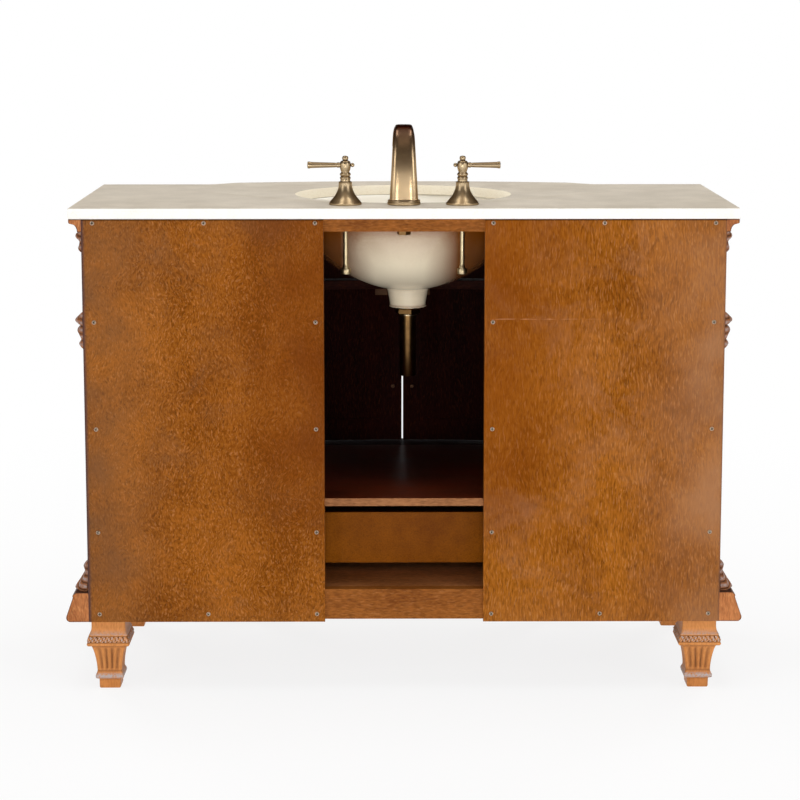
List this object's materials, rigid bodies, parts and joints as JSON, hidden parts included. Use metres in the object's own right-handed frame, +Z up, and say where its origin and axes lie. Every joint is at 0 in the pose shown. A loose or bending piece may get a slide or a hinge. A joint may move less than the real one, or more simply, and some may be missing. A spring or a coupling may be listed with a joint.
{
  "type": "bathroom vanity unit",
  "caption": "Bow-fronted wooden vanity with stone top, undermount oval basin, brass lever taps, curved doors, side drawers and an open back for plumbing.",
  "frame": {"origin": "on the floor, under the middle of the whole unit's box", "axes": "+X to the right of a person facing the doors, +Y from the doors to the back panels, +Z up"},
  "size_m": [1.257, 0.578, 1.055],
  "materials": {
    "walnut_stained_wood": "satin walnut stain",
    "honey_stained_wood": "carved, honey stain with dark and silver-grey rubbed recesses",
    "dark_stained_wood": "dark interior stain",
    "stained_plywood": "thin ply with an orange-brown stain, slightly mottled",
    "drawer_wood": "golden brown, satin",
    "beige_stone": "polished, finely mottled",
    "cream_glaze": "glossy glaze",
    "antique_brass": "brushed antique brass",
    "zinc_steel": "zinc plated"
  },
  "bodies": {
    "cabinet": {"countertop": "beige_stone", "side_panel_left": "walnut_stained_wood", "side_panel_right": "walnut_stained_wood", "posts": "walnut_stained_wood", "partitions": "dark_stained_wood", "bottom_board": "dark_stained_wood", "center_shelf": "dark_stained_wood", "back_panel_left": "stained_plywood", "back_panel_right": "stained_plywood", "back_frame": "stained_plywood", "front_rails": "walnut_stained_wood", "crown_moulding": "walnut_stained_wood", "plinth_moulding": "walnut_stained_wood", "leaf_carvings": "honey_stained_wood", "feet": "honey_stained_wood", "false_front": "walnut_stained_wood", "sink_basin": "cream_glaze", "sink_clips": "zinc_steel", "drain_body": "antique_brass", "drain_tailpiece": "antique_brass", "drain_nut": "antique_brass", "spout": "antique_brass", "faucet_bases": "antique_brass", "faucet_shanks": "antique_brass", "panel_screws": "zinc_steel", "drawer_runners": "dark_stained_wood", "hinge_leaves": "antique_brass", "door_catches": "zinc_steel"},
    "tap_lever_left": {"tap_lever_left": "antique_brass"},
    "tap_lever_right": {"tap_lever_right": "antique_brass"},
    "drain_stopper": {"drain_stopper": "antique_brass"},
    "door_left": {"door_left_frame": "walnut_stained_wood", "door_left_panel": "walnut_stained_wood", "door_left_knob": "antique_brass", "door_left_fittings": "antique_brass"},
    "drawer_left_top": {"drawer_left_top_front": "walnut_stained_wood", "drawer_left_top_box": "drawer_wood", "drawer_left_top_knob": "antique_brass"},
    "drawer_left_middle": {"drawer_left_middle_front": "walnut_stained_wood", "drawer_left_middle_box": "drawer_wood", "drawer_left_middle_knob": "antique_brass"},
    "drawer_left_bottom": {"drawer_left_bottom_front": "walnut_stained_wood", "drawer_left_bottom_box": "drawer_wood", "drawer_left_bottom_knob": "antique_brass"},
    "door_right": {"door_right_frame": "walnut_stained_wood", "door_right_panel": "walnut_stained_wood", "door_right_knob": "antique_brass", "door_right_fittings": "antique_brass"},
    "drawer_right_top": {"drawer_right_top_front": "walnut_stained_wood", "drawer_right_top_box": "drawer_wood", "drawer_right_top_knob": "antique_brass"},
    "drawer_right_middle": {"drawer_right_middle_front": "walnut_stained_wood", "drawer_right_middle_box": "drawer_wood", "drawer_right_middle_knob": "antique_brass"},
    "drawer_right_bottom": {"drawer_right_bottom_front": "walnut_stained_wood", "drawer_right_bottom_box": "drawer_wood", "drawer_right_bottom_knob": "antique_brass"},
    "drawer_center": {"drawer_center_front": "walnut_stained_wood", "drawer_center_box": "drawer_wood", "drawer_center_knobs": "antique_brass"}
  },
  "joints": [
    {"name": "door_left_hinge", "type": "hinge", "parent": "cabinet", "child": "door_left", "pos_m": [-0.27925, -0.22752, 0.529], "axis": [0, 0, -1], "range_deg": [0, 85]},
    {"name": "door_right_hinge", "type": "hinge", "parent": "cabinet", "child": "door_right", "pos_m": [0.27925, -0.22752, 0.529], "axis": [0, 0, 1], "range_deg": [0, 85]},
    {"name": "drawer_left_top_slide", "type": "slide", "parent": "cabinet", "child": "drawer_left_top", "axis": [0, -1, 0], "range_m": [0, 0.3]},
    {"name": "drawer_left_middle_slide", "type": "slide", "parent": "cabinet", "child": "drawer_left_middle", "axis": [0, -1, 0], "range_m": [0, 0.3]},
    {"name": "drawer_left_bottom_slide", "type": "slide", "parent": "cabinet", "child": "drawer_left_bottom", "axis": [0, -1, 0], "range_m": [0, 0.3]},
    {"name": "drawer_right_top_slide", "type": "slide", "parent": "cabinet", "child": "drawer_right_top", "axis": [0, -1, 0], "range_m": [0, 0.3]},
    {"name": "drawer_right_middle_slide", "type": "slide", "parent": "cabinet", "child": "drawer_right_middle", "axis": [0, -1, 0], "range_m": [0, 0.3]},
    {"name": "drawer_right_bottom_slide", "type": "slide", "parent": "cabinet", "child": "drawer_right_bottom", "axis": [0, -1, 0], "range_m": [0, 0.3]},
    {"name": "drawer_center_slide", "type": "slide", "parent": "cabinet", "child": "drawer_center", "axis": [0, -1, 0], "range_m": [0, 0.3]},
    {"name": "tap_left_turn", "type": "hinge", "parent": "cabinet", "child": "tap_lever_left", "pos_m": [-0.108, 0.217, 0.98], "axis": [0, 0, 1], "range_deg": [0, 90]},
    {"name": "tap_right_turn", "type": "hinge", "parent": "cabinet", "child": "tap_lever_right", "pos_m": [0.108, 0.217, 0.98], "axis": [0, 0, -1], "range_deg": [0, 90]},
    {"name": "stopper_lift", "type": "slide", "parent": "cabinet", "child": "drain_stopper", "axis": [0, 0, 1], "range_m": [0, 0.008]}
  ]
}
